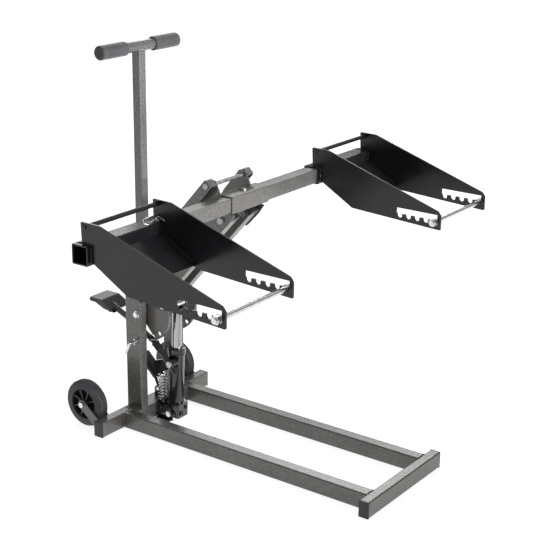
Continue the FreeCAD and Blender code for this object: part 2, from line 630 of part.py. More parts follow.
mount_x = 27.0
mount_t = 4.0
jack_pin_z = 22.0
mount_pts = [(deep_y0, 0), (deep_y0 - 62, 0), (deep_y0 - 62, 30), (deep_y0 - 48, 50), (deep_y0, 50)]
mount = plate_yz(mount_pts, mount_x, mount_x + mount_t, {2: 6, 3: 8})
foot = box(mount_x + mount_t, mount_x + 18, deep_y0 - 60, deep_y0 - 4, 0, mount_t)
mount = mount.fuse(foot)
mount = mount.cut(cyl_x(6, 20, 40, jack_y, jack_pin_z))
stand = capsule_yz(yy(release_dy), tube_h, yy(release_dy), release_z, 12, release_x - 12, release_x - 8)
stand = stand.cut(box(0, 60, yy(-60), yy(60), 0, tube_h))
stand = stand.cut(cyl_x(5, 0, 60, yy(release_dy), release_z))
save("jack_mount_plates", Part.makeCompound([mount, mirror_x(mount), stand]))
jpin = cyl_x(6, -mount_x - mount_t - 8, mount_x + mount_t + 8, jack_y, jack_pin_z)
for side in (-1, 1):
    nut = hex_x(18, mount_x + mount_t, mount_x + mount_t + 6, jack_y, jack_pin_z)
    jpin = jpin.fuse(nut if side > 0 else mirror_x(nut))

base_blk = box(-26, 26, jack_y - 31, jack_y + 30, 10, 56)
base_blk = base_blk.makeFillet(6, [e for e in base_blk.Edges if e.BoundBox.ZLength > 40])
pump_y = unlean(yy(pump_dy), 60)[0]
pump_boss = cyl_z(17, 12, 62, pump_x, pump_y)
base_blk = base_blk.fuse(pump_boss)
base_blk = base_blk.fuse(cyl_z(31, 40, 58, 0, jack_y))
base_blk = base_blk.cut(box(-60, 0.5 - mount_x, 0, 400, 0, 53)).cut(box(mount_x - 0.5, 60, 0, 400, 0, 53))
base_blk = lean(base_blk)
base_blk = base_blk.cut(box(-60, 60, deep_y0 - 0.5, deep_y0 + 60, 0, tube_h + 1))
base_blk = base_blk.cut(cyl_x(6, -40, 40, jack_y, jack_pin_z))
base_blk = base_blk.cut(lean(cyl_z(cyl_r, 50, 60, 0, jack_y)))
base_blk = base_blk.cut(lean(cyl_z(plunger_r + fit, 20, 70, pump_x, pump_y)))
save("jack_base", base_blk.removeSplitter())

cylinder = cyl_z(cyl_r, 50, cyl_top - 12, 0, jack_y)
cylinder = cylinder.fuse(cyl_z(cyl_r + 2, cyl_top - 14, cyl_top, 0, jack_y))
cylinder = cylinder.cut(cyl_z(ram_r + fit, 60, cyl_top + 1, 0, jack_y))
fy, fz = unlean(yy(fulcrum_dy), fulcrum_z)
lug_plate = box(-26, -22, fy - 12, jack_y + 10, fz - 14, fz + 14)
cylinder = cylinder.fuse(lug_plate)
cylinder = lean(cylinder)
ful_y = yy(fulcrum_dy)
cylinder = cylinder.cut(cyl_x(6, -60, -20, ful_y, fulcrum_z))
save("jack_cylinder", cylinder)

ram_top = ram_z - roller_r - 11.0
head_t = 8.0
ram_foot = 178.0          # lower end of the ram in the cylinder, full stroke left below it
ram = lean(cyl_z(ram_r, ram_foot, ram_top, 0, jack_y))
save("jack_ram", ram)
head_y = unlean(ram_y, ram_z)[0]
head = box(-21, 21, head_y - 16, head_y + 60, ram_top, ram_top + head_t)
head = head.makeFillet(5, [e for e in head.Edges if e.BoundBox.ZLength > 7])
head = head.fuse(cyl_z(ram_r + 3, ram_top - 6, ram_top, 0, jack_y))
head = head.cut(cyl_z(ram_r, ram_top - 7, ram_top, 0, jack_y))
save("ram_saddle", lean(head).removeSplitter())

# pump plunger with its return spring
plunger_top = 150.0
py = yy(pump_dy)
plunger = cyl_z(plunger_r, 40, plunger_top, pump_x, pump_y)
plunger = plunger.fuse(cyl_z(15, plunger_top - 6, plunger_top, pump_x, pump_y))
plunger = plunger.fuse(cyl_z(8, plunger_top - 14, plunger_top - 6, pump_x, pump_y))
save("pump_plunger", lean(plunger))
s_bot = 62.6
s_top = plunger_top - 6.6
helix = Part.makeHelix((s_top - s_bot - 2 * spring_wire) / 7, s_top - s_bot - 2 * spring_wire, spring_r)
helix.translate(V(pump_x, pump_y, s_bot + spring_wire))
start = helix.Edges[0].valueAt(helix.Edges[0].FirstParameter)
tang = helix.Edges[0].tangentAt(helix.Edges[0].FirstParameter)
prof = Part.Wire(Part.makeCircle(spring_wire, start, tang))
spring = Part.Wire(helix.Edges).makePipeShell([prof], True, True)
save("pump_spring", lean(spring))

# ---- pump lever and pedal ------------------------------------------------------------------
lever_r = 10.0
lx = lever_x
lever = rod_through([V(lx, yy(-112), 174), V(lx, yy(-26), 261), V(pedal_x, yy(112), 306),
                     V(pedal_x, yy(172), 332)], lever_r)
lever = lever.fuse(cyl_x(13, lx - 11, lx + 11, ful_y, fulcrum_z))
push_z = 160.3
web = plate_yz([(ful_y - 8, fulcrum_z - 10), (ful_y + 16, fulcrum_z + 12), (py + 12, push_z + 36),
                (py + 12, push_z), (py - 12, push_z)], lx - 3, lx + 3, {2: 6})
lever = lever.fuse(web)
lever = lever.fuse(cyl_x(8, lx - 3, pump_x + 2, py, push_z))
pedal_y = yy(pad_dy)
bracket = plate_yz([(pedal_y - 44, pad_z - 18), (pedal_y - 39, pad_z - 14.6), (pedal_y, pad_z + 6),
                    (pedal_y + 40, pad_z + 7.6), (pedal_y + 34, pad_z), (pedal_y, pad_z - 14)],
                   pedal_x - 16, pedal_x + 16)
pedal = plate_yz([(pedal_y - 46, pad_z - 3), (pedal_y - 3, pad_z + 20), (pedal_y + 49, pad_z + 20),
                  (pedal_y + 49, pad_z + 8), (pedal_y, pad_z + 6), (pedal_y - 40, pad_z - 15)],
                 -pad_half, pad_half, {0: 4, 1: 6, 2: 5, 3: 5, 5: 4})
save("pump_pedal_pad", pedal)
lever = lever.fuse(bracket).cut(pedal)
lever = lever.cut(cyl_x(6 + fit, lx - 20, lx + 20, ful_y, fulcrum_z)).removeSplitter()
save("pump_lever", lever)
fulcrum_bolt = cyl_x(6, lx - 22, -22, ful_y, fulcrum_z)
fulcrum_bolt = fulcrum_bolt.fuse(hex_x(19, lx - 20, lx - 12, ful_y, fulcrum_z))

# ---- release lever and pedal -----------------------------------------------------------------
rel_y = yy(release_dy)
rx = release_x
pad_foot = V(rx, yy(35), 141)
release = rod_through([V(rx, yy(-24), 68), V(rx, rel_y, release_z), pad_foot], 7)
release = release.fuse(cyl_x(11, rx - 7, rx + 7, rel_y, release_z))
release = release.cut(cyl_x(5 + fit, rx - 12, rx + 12, rel_y, release_z))
rpad = plate_yz([(yy(2), 120), (yy(70), 184), (yy(77), 176), (yy(9), 112)], rx - release_half,
                rx + release_half, {0: 3, 1: 4, 2: 3, 3: 3})
save("release_pedal_pad", rpad)
save("release_lever", release.cut(rpad).removeSplitter())
stem = cyl_x(5, rx - 12, rx + 10, rel_y, release_z)
stem = stem.fuse(hex_x(14, rx + 7.5, rx + 13, rel_y, release_z))
save("jack_pins", Part.makeCompound([jpin, fulcrum_bolt, stem]))

# ---- lock pin ----------------------------------------------------------------------------------
lock_half = post_in + post_w
knee_x = -lock_half - 40
pin = rod_through([V(0.5 - post_in, lock_y, lock_z), V(knee_x, lock_y, lock_z),
                   V(knee_x, lock_y + 16, lock_z - 34)], lock_pin_r)
pin = pin.fuse(cyl_z(2, lock_z - 10, lock_z + 10, -lock_half - 18, lock_y))
save("lock_pin", pin)
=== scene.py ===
import json
import math
import random

import bmesh
import bpy
from mathutils import Matrix, Vector


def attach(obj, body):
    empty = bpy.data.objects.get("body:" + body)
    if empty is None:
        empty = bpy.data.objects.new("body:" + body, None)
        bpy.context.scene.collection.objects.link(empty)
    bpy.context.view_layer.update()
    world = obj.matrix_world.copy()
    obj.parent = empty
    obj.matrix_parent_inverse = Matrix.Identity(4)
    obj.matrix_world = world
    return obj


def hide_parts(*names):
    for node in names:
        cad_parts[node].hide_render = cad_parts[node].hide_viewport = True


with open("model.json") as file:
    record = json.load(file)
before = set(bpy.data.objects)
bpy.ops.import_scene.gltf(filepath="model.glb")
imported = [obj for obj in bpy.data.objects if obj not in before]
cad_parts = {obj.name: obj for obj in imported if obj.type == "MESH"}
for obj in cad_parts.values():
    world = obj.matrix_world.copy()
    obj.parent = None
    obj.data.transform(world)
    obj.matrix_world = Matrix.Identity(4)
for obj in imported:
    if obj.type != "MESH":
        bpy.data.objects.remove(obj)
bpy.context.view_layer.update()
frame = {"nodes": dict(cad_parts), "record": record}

NODES = frame["nodes"]
random.seed(7)


# ---- material helpers ---------------------------------------------------------------
class Tree:
    """A material's node tree with short helpers for adding nodes."""

    def __init__(self, name):
        self.mat = bpy.data.materials.new(name)
        self.mat.use_nodes = True
        self.nt = self.mat.node_tree
        self.nt.nodes.clear()
        self.out = self.nt.nodes.new("ShaderNodeOutputMaterial")
        self.bsdf = self.nt.nodes.new("ShaderNodeBsdfPrincipled")
        self.link(self.bsdf.outputs[0], self.out.inputs["Surface"])
        self.coord = self.nt.nodes.new("ShaderNodeTexCoord").outputs["Object"]

    def link(self, a, b):
        self.nt.links.new(a, b)

    def stretch(self, sx, sy, sz):
        """Object coordinates scaled per axis."""
        m = self.nt.nodes.new("ShaderNodeMapping")
        m.inputs["Scale"].default_value = (sx, sy, sz)
        self.link(self.coord, m.inputs["Vector"])
        return m.outputs[0]

    def noise(self, scale, detail=2.0, rough=0.5, vector=None):
        n = self.nt.nodes.new("ShaderNodeTexNoise")
        n.inputs["Scale"].default_value = scale
        n.inputs["Detail"].default_value = detail
        n.inputs["Roughness"].default_value = rough
        self.link(vector or self.coord, n.inputs["Vector"])
        return n.outputs["Fac"]

    def cells(self, scale, smooth=0.4):
        n = self.nt.nodes.new("ShaderNodeTexVoronoi")
        n.feature = "SMOOTH_F1"
        n.inputs["Scale"].default_value = scale
        n.inputs["Smoothness"].default_value = smooth
        self.link(self.coord, n.inputs["Vector"])
        return n.outputs["Distance"]

    def ramp(self, fac, stops):
        """Colour ramp; stops = [(position, colour or grey level), ...]."""
        n = self.nt.nodes.new("ShaderNodeValToRGB")
        e = n.color_ramp.elements
        for k, (pos, col) in enumerate(stops):
            item = e[k] if k < 2 else e.new(pos)
            item.position = pos
            rgb = (col, col, col) if isinstance(col, float) else col
            item.color = (*rgb, 1.0)
        self.link(fac, n.inputs["Fac"])
        return n.outputs["Color"]

    def mix(self, fac, a, b, mode="MIX"):
        n = self.nt.nodes.new("ShaderNodeMix")
        n.data_type = "RGBA"
        n.blend_type = mode
        if isinstance(fac, float):
            n.inputs["Factor"].default_value = fac
        else:
            self.link(fac, n.inputs["Factor"])
        for socket, value in ((n.inputs[6], a), (n.inputs[7], b)):
            if isinstance(value, tuple):
                socket.default_value = (*value, 1.0)
            else:
                self.link(value, socket)
        return n.outputs[2]

    def math(self, op, a, b):
        n = self.nt.nodes.new("ShaderNodeMath")
        n.operation = op
        for socket, value in ((n.inputs[0], a), (n.inputs[1], b)):
            if isinstance(value, float):
                socket.default_value = value
            else:
                self.link(value, socket)
        return n.outputs[0]

    def bump(self, height, strength, distance):
        n = self.nt.nodes.new("ShaderNodeBump")
        n.inputs["Strength"].default_value = strength
        n.inputs["Distance"].default_value = distance
        self.link(height, n.inputs["Height"])
        self.link(n.outputs[0], self.bsdf.inputs["Normal"])

    def colour(self, socket):
        self.link(socket, self.bsdf.inputs["Base Color"])

    def rough(self, fac, low, high):
        self.link(self.ramp(fac, [(0.3, low), (0.7, high)]), self.bsdf.inputs["Roughness"])

    def put(self, **values):
        for key, value in values.items():
            self.bsdf.inputs[key.replace("_", " ")].default_value = value


def hammered_grey(name):
    """Silver-vein powder coat: dark and light flecks a millimetre or two across with a dimpled skin."""
    t = Tree(name)
    cells = t.cells(420.0)
    fleck = t.noise(760.0, 3.0, 0.6)
    patch = t.noise(7.0, 3.0)
    base = t.ramp(t.math("ADD", t.math("MULTIPLY", cells, 0.8), t.math("MULTIPLY", fleck, 0.6)),
                  [(0.35, (0.024, 0.024, 0.023)), (0.60, (0.068, 0.067, 0.064)),
                   (0.85, (0.165, 0.163, 0.157))])
    t.colour(t.mix(t.ramp(patch, [(0.35, 0.0), (0.7, 0.40)]), base, (0.052, 0.051, 0.049)))
    t.rough(fleck, 0.30, 0.44)
    t.put(Metallic=0.35, Coat_Weight=0.45, Coat_Roughness=0.16)
    t.bump(cells, 0.22, 0.0009)
    return t.mat


def satin_black(name):
    """Half-gloss black powder coat with a faint orange peel."""
    t = Tree(name)
    peel = t.noise(520.0, 2.0)
    patch = t.noise(11.0, 3.0)
    t.colour(t.ramp(patch, [(0.3, (0.0065, 0.0065, 0.0075)), (0.7, (0.0105, 0.0100, 0.0115))]))
    t.rough(patch, 0.20, 0.30)
    t.put(Specular_IOR_Level=0.45)
    t.bump(peel, 0.07, 0.0005)
    return t.mat


def gloss_black(name):
    """Gloss black enamel with slight runs and dust."""
    t = Tree(name)
    waves = t.noise(60.0, 2.0)
    dust = t.noise(900.0, 4.0, 0.7)
    t.colour(t.ramp(dust, [(0.4, (0.004, 0.004, 0.005)), (0.8, (0.012, 0.012, 0.013))]))
    t.rough(waves, 0.10, 0.20)
    t.put(Coat_Weight=0.6, Coat_Roughness=0.05)
    t.bump(waves, 0.10, 0.0010)
    return t.mat


def zinc(name):
    """Bright zinc plate, slightly blue, with soft stains."""
    t = Tree(name)
    stain = t.noise(55.0, 4.0, 0.6)
    grain = t.noise(1500.0, 2.0)
    t.colour(t.ramp(stain, [(0.3, (0.62, 0.63, 0.65)), (0.7, (0.78, 0.79, 0.81))]))
    t.rough(stain, 0.16, 0.26)
    t.put(Metallic=1.0)
    t.bump(grain, 0.06, 0.0004)
    return t.mat


def dull_steel(name):
    """Grey phosphate-coated bolts and pins, only slightly bright."""
    t = Tree(name)
    stain = t.noise(70.0, 4.0, 0.6)
    t.colour(t.ramp(stain, [(0.3, (0.28, 0.28, 0.28)), (0.7, (0.42, 0.42, 0.42))]))
    t.rough(stain, 0.30, 0.45)
    t.put(Metallic=0.9)
    t.bump(t.noise(1300.0, 2.0), 0.08, 0.0004)
    return t.mat


def chrome(name):
    """Hard chrome ram with faint lengthwise honing marks."""
    t = Tree(name)
    hone = t.noise(40.0, 3.0, 0.5, t.stretch(30.0, 30.0, 0.6))
    t.colour(t.ramp(hone, [(0.3, (0.34, 0.35, 0.36)), (0.7, (0.46, 0.47, 0.48))]))
    t.rough(hone, 0.05, 0.10)
    t.put(Metallic=1.0)
    t.bump(hone, 0.03, 0.0003)
    return t.mat


def black_plastic(name):
    """Moulded black polyethylene with a fine spark texture."""
    t = Tree(name)
    spark = t.noise(1100.0, 3.0, 0.6)
    patch = t.noise(30.0, 2.0)
    t.colour(t.ramp(patch, [(0.3, (0.010, 0.010, 0.011)), (0.7, (0.022, 0.022, 0.024))]))
    t.rough(spark, 0.38, 0.55)
    t.bump(spark, 0.18, 0.0004)
    return t.mat


def grip_foam(name):
    """Dark grey foam rubber, open pored."""
    t = Tree(name)
    pores = t.cells(900.0, 0.2)
    patch = t.noise(25.0, 3.0)
    t.colour(t.ramp(patch, [(0.3, (0.016, 0.017, 0.019)), (0.7, (0.036, 0.037, 0.040))]))
    t.rough(patch, 0.62, 0.80)
    t.put(Sheen_Weight=0.25, Sheen_Roughness=0.5)
    t.bump(pores, 0.35, 0.0008)
    return t.mat


def tyre_rubber(name):
    """Solid rubber tyre, dusty grey-black with a pebbled tread."""
    t = Tree(name)
    pebble = t.cells(420.0, 0.3)
    patch = t.noise(35.0, 4.0, 0.6)
    t.colour(t.ramp(patch, [(0.3, (0.016, 0.018, 0.021)), (0.7, (0.048, 0.052, 0.058))]))
    t.rough(patch, 0.48, 0.66)
    t.bump(pebble, 0.50, 0.0014)
    return t.mat


def hub_plastic(name):
    """Glossy moulded hub."""
    t = Tree(name)
    patch = t.noise(40.0, 3.0)
    t.colour(t.ramp(patch, [(0.3, (0.010, 0.010, 0.012)), (0.7, (0.020, 0.021, 0.024))]))
    t.rough(patch, 0.22, 0.34)
    t.bump(t.noise(900.0, 2.0), 0.06, 0.0004)
    return t.mat


def pedal_skin(name):
    """Grey-black plastic skin of the pump pedal's flat top; its pale grey is a painted sheen for the light
    the flat top catches, mottled by noise.
    """
    t = Tree(name)
    sheen_mottle = t.noise(45.0, 4.0, 0.6)
    grain = t.noise(1200.0, 3.0)
    # painted sheen: the pale grey base colour stands in for the light on the pedal's flat top
    t.colour(t.ramp(sheen_mottle, [(0.3, (0.17, 0.17, 0.175)), (0.7, (0.27, 0.27, 0.275))]))
    t.rough(sheen_mottle, 0.35, 0.50)
    t.bump(grain, 0.12, 0.0004)
    return t.mat


MATS = {
    "frame_grey": hammered_grey("hammered_grey"),
    "pan_black": satin_black("satin_black"),
    "jack_black": gloss_black("gloss_black"),
    "zinc": zinc("zinc_plate"),
    "steel": dull_steel("dull_steel"),
    "pedal": pedal_skin("pedal_skin"),
    "chrome": chrome("hard_chrome"),
    "cap_plastic": black_plastic("black_plastic"),
    "grip_rubber": grip_foam("grip_foam"),
    "pad_rubber": black_plastic("pedal_rubber"),
    "tyre": tyre_rubber("tyre_rubber"),
    "hub_plastic": hub_plastic("hub_plastic"),
}


# ---- sizes in metres ----------------------------------------------------------------------
REAR_Y = 0.342            # front face of the rear stubs
TUBE_H = 0.050
RAIL_IN = 0.122
RAIL_OUT = 0.160
RAIL_FRONT = REAR_Y - 0.897
CROSS_Y0 = REAR_Y - 0.026
POST_Y1 = REAR_Y + 0.034
POST_IN = 0.073
POST_OUT = 0.105
BRACE_Y0 = REAR_Y + 0.004
BRACE_H = 0.030
BRACE_Z = (0.396, 0.494)
HANDLE_Y = POST_Y1 + 0.015
HANDLE_Z = 1.174
HANDLE_HALF = 0.015
BAR_R = 0.016
WHEEL_X = 0.214
WHEEL_Y = REAR_Y + 0.104
WHEEL_Z = 0.078
WHEEL_R = 0.075
TYRE_HALF = 0.019
RIM_R = 0.052
HUB_HALF = 0.020
AXLE_R = 0.0053
BEAM_Y = REAR_Y - 0.334
BEAM_Z = 0.766
SLEEVE_X0 = -0.072
SLEEVE_HALF = 0.026
EAR_IN = 0.070
EAR_OUT = 0.074
ARM_PIVOT = (REAR_Y - 0.014, 0.367)
BEAM_PIVOT = (REAR_Y - 0.321, 0.716)
ARM_IN = 0.030
ARM_OUT = 0.063
ARM_HALF = 0.020
ARM_TOE = 0.0285
PAN_IN = 0.377
PAN_OUT = 0.660
PAN_T = 0.005
PAN_SLEEVE_HALF = 0.027
JACK_Y = REAR_Y - 0.076
JACK_LEAN = math.radians(2.0)
CYL_R = 0.025
CYL_TOP = 0.240
LEVER_X = -0.040
PUMP_PAD_CREASE = REAR_Y + 0.196      # where the pump pedal's slope meets its flat top
PUMP_PAD_HALF = 0.0395
RIB_SKIN = 0.0012                     # how far the ribs stand off the pump pedal
PAN_SLOPE = 0.570                     # fall of the floor sheet of a pan, per unit forward
PAN_SHEET_REACH = 0.143
PIN_RING_R = 0.0058
FLOOR_HALF = 60.0


# ---- mesh helpers ----------------------------------------------------------------------------
def new_piece(name, verts, faces, mat, body, sharp=35.0):
    """Mesh object that rides on a body, smooth except at edges sharper than the given angle."""
    mesh = bpy.data.meshes.new(name)
    mesh.from_pydata([tuple(v) for v in verts], [], faces)
    mesh.materials.append(mat)
    bm = bmesh.new()
    bm.from_mesh(mesh)
    bmesh.ops.recalc_face_normals(bm, faces=bm.faces)
    bm.to_mesh(mesh)
    bm.free()
    for p in mesh.polygons:
        p.use_smooth = True
    mesh.set_sharp_from_angle(angle=math.radians(sharp))
    obj = bpy.data.objects.new(name, mesh)
    bpy.context.scene.collection.objects.link(obj)
    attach(obj, body)
    return obj


def frame_of(direction):
    """Two unit vectors square to a direction."""
    d = Vector(direction).normalized()
    side = d.cross(Vector((0, 0, 1)))
    if side.length < 0.1:
        side = d.cross(Vector((0, 1, 0)))
    side.normalize()
    return side, d.cross(side).normalized()


def lathe(profile, origin, axis, steps=64):
    """Closed surface of revolution; profile = [(distance along, radius), ...], first to last."""
    origin = Vector(origin)
    axis = Vector(axis).normalized()
    u, v = frame_of(axis)
    verts = []
    faces = []
    n = len(profile)
    for along, radius in profile:
        for k in range(steps):
            a = 2 * math.pi * k / steps
            verts.append(origin + axis * along + (u * math.cos(a) + v * math.sin(a)) * radius)
    for i in range(n):
        j = (i + 1) % n
        for k in range(steps):
            m = (k + 1) % steps
            faces.append((i * steps + k, i * steps + m, j * steps + m, j * steps + k))
    return verts, faces


def rounded_path(points, radius, steps=8):
    """Polyline whose corners are turned into arcs."""
    pts = [Vector(p) for p in points]
    out = [pts[0]]
    for a, p, b in zip(pts[:-2], pts[1:-1], pts[2:]):
        ua = (a - p).normalized()
        ub = (b - p).normalized()
        half = ua.angle(ub) / 2
        reach = min(radius / math.tan(half), 0.45 * (a - p).length, 0.45 * (b - p).length)
        start = p + ua * reach
        end = p + ub * reach
        for k in range(steps + 1):
            t = k / steps
            out.append(start * (1 - t) ** 2 + p * 2 * t * (1 - t) + end * t ** 2)
    out.append(pts[-1])
    return out


def sweep(path, radii, sides=14):
    """Round section carried along a path with closed ends; radii is one number or one per point."""
    n = len(path)
    if isinstance(radii, float):
        radii = [radii] * n
    verts = []
    faces = []
    u = None
    for i, p in enumerate(path):
        d = (path[min(i + 1, n - 1)] - path[max(i - 1, 0)]).normalized()
        if u is None:
            u = frame_of(d)[0]
        u = (u - d * u.dot(d)).normalized()
        v = d.cross(u)
        for k in range(sides):
            a = 2 * math.pi * k / sides
            verts.append(p + (u * math.cos(a) + v * math.sin(a)) * radii[i])
    for i in range(n - 1):
        for k in range(sides):
            m = (k + 1) % sides
            faces.append((i * sides + k, i * sides + m, (i + 1) * sides + m, (i + 1) * sides + k))
    faces.append(tuple(range(sides)))
    faces.append(tuple((n - 1) * sides + k for k in range(sides)))
    return verts, faces


def merged(parts):
    """Several (verts, faces) lists joined into one."""
    verts = []
    faces = []
    for vs, fs in parts:
        base = len(verts)
        verts.extend(vs)
        faces.extend(tuple(i + base for i in f) for f in fs)
    return verts, faces


def weld_runs(name, runs, radius, mat, body, ripple=0.0035):
    """Weld beads along straight runs, with overlapping ripples and a slightly unsteady width."""
    parts = []
    for a, b in runs:
        a = Vector(a)
        b = Vector(b)
        length = (b - a).length
        n = max(6, int(length / ripple * 6))
        path = []
        radii = []
        wander = random.uniform(0, 6.28)
        for i in range(n + 1):
            s = i / n
            path.append(a.lerp(b, s))
            saw = (s * length / ripple) % 1.0
            swell = 0.10 * math.sin(wander + s * length * 140)
            taper = min(1.0, 0.35 + 6 * min(s, 1 - s))
            radii.append(radius * taper * (0.84 + 0.26 * math.sin(math.pi * saw) + swell))
        parts.append(sweep(path, radii, 8))
    verts, faces = merged(parts)
    return new_piece(name, verts, faces, mat, body, 60.0)


def block(x0, x1, outline):
    """Prism along X over a YZ outline."""
    n = len(outline)
    verts = [(x0, y, z) for y, z in outline] + [(x1, y, z) for y, z in outline]
    faces = [tuple(range(n)), tuple(range(2 * n - 1, n - 1, -1))]
    for k in range(n):
        m = (k + 1) % n
        faces.append((k, m, m + n, k + n))
    return verts, faces


# ---- CAD pieces that stay: finish them with materials and softened edges -----------------
EDGE = {"frame_grey": 0.0007, "pan_black": 0.0006, "jack_black": 0.0008, "cap_plastic": 0.0016,
        "pad_rubber": 0.0012, "zinc": 0.0005}
DULL = ("carriage_bolts", "upper_pivot_rod")


def soften(obj, width):
    """Rounds sharp edges so that they catch the light."""
    mod = obj.modifiers.new("soft_edges", "BEVEL")
    mod.width = width
    mod.segments = 2
    mod.limit_method = "ANGLE"
    mod.angle_limit = math.radians(38.0)
    mod.use_clamp_overlap = True
    mod.harden_normals = True


def dress_cad():
    """Finished material on every CAD node, and softened edges where they would show."""
    for sub in frame["record"]["subparts"]:
        obj = NODES[sub["node"]]
        kind = sub["material_slot"]
        mat = MATS["steel"] if sub["node"] in DULL else MATS[kind]
        if not obj.material_slots:
            obj.data.materials.append(mat)
        for s in obj.material_slots:
            s.material = mat
        if kind in EDGE and not sub["node"].endswith("spring"):
            soften(obj, EDGE[kind])


# ---- wheels ---------------------------------------------------------------------------------
def wheel(side, x):
    """Solid tyre with four grooves round its tread, on a hub with a thin web and eight ribs."""
    origin = (x, WHEEL_Y, WHEEL_Z)
    body = "wheel_" + side
    w = TYRE_HALF
    r = WHEEL_R
    half = [(-w, RIM_R), (-w, RIM_R + 0.006), (-w + 0.001, RIM_R + 0.008), (-w + 0.001, r - 0.010),
            (-w + 0.003, r - 0.005), (-w + 0.006, r - 0.0018), (-w + 0.010, r - 0.0003)]
    groove = []
    for k in range(4):
        g = -0.0075 + 0.005 * k
        groove += [(g - 0.0009, r), (g - 0.0006, r - 0.0011), (g + 0.0006, r - 0.0011), (g + 0.0009, r)]
    profile = half + groove + [(-a, q) for a, q in reversed(half)]
    verts, faces = lathe(profile, origin, (1, 0, 0), 96)
    tyre = new_piece("tyre_" + side, verts, faces, MATS["tyre"], body, 30.0)
    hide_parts("wheel_tyre_" + side)

    lip = [(-w - 0.0004, RIM_R - 0.0002), (-w - 0.0008, RIM_R - 0.0030), (-w + 0.002, RIM_R - 0.0050),
           (-w + 0.008, RIM_R - 0.0065), (-0.0030, RIM_R - 0.0080)]
    ring = lip + [(-a, q) for a, q in reversed(lip)]
    parts = [lathe(ring, origin, (1, 0, 0), 96)]
    boss = [(-HUB_HALF, AXLE_R), (-HUB_HALF, 0.0125), (-HUB_HALF + 0.0015, 0.0140), (-0.004, 0.0170),
            (0.004, 0.0170), (HUB_HALF - 0.0015, 0.0140), (HUB_HALF, 0.0125), (HUB_HALF, AXLE_R)]
    parts.append(lathe(boss, origin, (1, 0, 0), 48))
    web = [(-0.0018, 0.0160), (-0.0018, RIM_R - 0.0070), (0.0018, RIM_R - 0.0070), (0.0018, 0.0160)]
    parts.append(lathe(web, origin, (1, 0, 0), 64))
    # a rib: half depth along the axle and half thickness at three radii
    rib = ((0.0145, 0.0165, 0.0026), (0.030, 0.0120, 0.0021), (0.0455, 0.0135, 0.0030))
    for k in range(8):
        a = math.pi * (k + 0.5) / 4
        u = Vector((0, math.cos(a), math.sin(a)))
        v = Vector((0, -math.sin(a), math.cos(a)))
        c = Vector(origin)
        verts = []
        for radius, deep, wide in rib:
            for dx, dv in ((-deep, -wide), (deep, -wide), (deep, wide), (-deep, wide)):
                verts.append(c + u * radius + v * dv + Vector((dx, 0, 0)))
        faces = [(0, 1, 2, 3), (8, 11, 10, 9)]
        for i in (0, 4):
            for j in range(4):
                m = (j + 1) % 4
                faces.append((i + j, i + m, i + 4 + m, i + 4 + j))
        parts.append((verts, faces))
    verts, faces = merged(parts)
    hub = new_piece("hub_" + side, verts, faces, MATS["hub_plastic"], body, 35.0)
    soften(hub, 0.0006)
    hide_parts("wheel_hub_" + side)


# ---- pedals ----------------------------------------------------------------------------------
def pedal_ribs():
    """Ribs across the sloping faces of both pedal pads, and the top skin of the pump pedal, whose pale grey
    is painted sheen.
    """
    y0 = PUMP_PAD_CREASE
    a = Vector((0, y0 - 0.046, 0.327))
    b = Vector((0, y0 - 0.003, 0.350))
    along = (b - a).normalized()
    up = Vector((0, -along.z, along.y))
    parts = []
    for k in range(8):
        p = a + along * (0.0045 + 0.0055 * k)
        q = p + along * 0.0026
        outline = [(p.y, p.z), (q.y, q.z), (q.y + up.y * RIB_SKIN, q.z + up.z * RIB_SKIN),
                   (p.y + up.y * RIB_SKIN, p.z + up.z * RIB_SKIN)]
        parts.append(block(-PUMP_PAD_HALF, PUMP_PAD_HALF, outline))
    verts, faces = merged(parts)
    new_piece("pump_pad_ribs", verts, faces, MATS["pad_rubber"], "pump_handle")
    # the pale grey top skin is a painted sheen on the pump pedal's flat top
    top = block(-0.0405, 0.0405, [(y0 - 0.0015, 0.3498), (y0 + 0.0480, 0.3498), (y0 + 0.0480, 0.3508),
                                  (y0 - 0.0015, 0.3508)])
    new_piece("pump_pad_top", top[0], top[1], MATS["pedal"], "pump_handle")
    a = Vector((0, REAR_Y + 0.002, 0.120))
    b = Vector((0, REAR_Y + 0.070, 0.184))
    along = (b - a).normalized()
    up = Vector((0, -along.z, along.y))
    parts = []
    for k in range(12):
        p = a + along * (0.005 + 0.0070 * k)
        q = p + along * 0.0034
        outline = [(p.y - up.y * 0.0004, p.z - up.z * 0.0004), (q.y - up.y * 0.0004, q.z - up.z * 0.0004),
                   (q.y + up.y * 0.0016, q.z + up.z * 0.0016), (p.y + up.y * 0.0016, p.z + up.z * 0.0016)]
        parts.append(block(-0.002, 0.038, outline))
    verts, faces = merged(parts)
    new_piece("release_pad_ribs", verts, faces, MATS["pad_rubber"], "release")


# ---- welds -----------------------------------------------------------------------------------
def ring_runs(x0, x1, y0, y1, z):
    """Four runs round a rectangle at one height."""
    c = [(x0, y0, z), (x1, y0, z), (x1, y1, z), (x0, y1, z)]
    return [(c[k], c[(k + 1) % 4]) for k in range(4)]


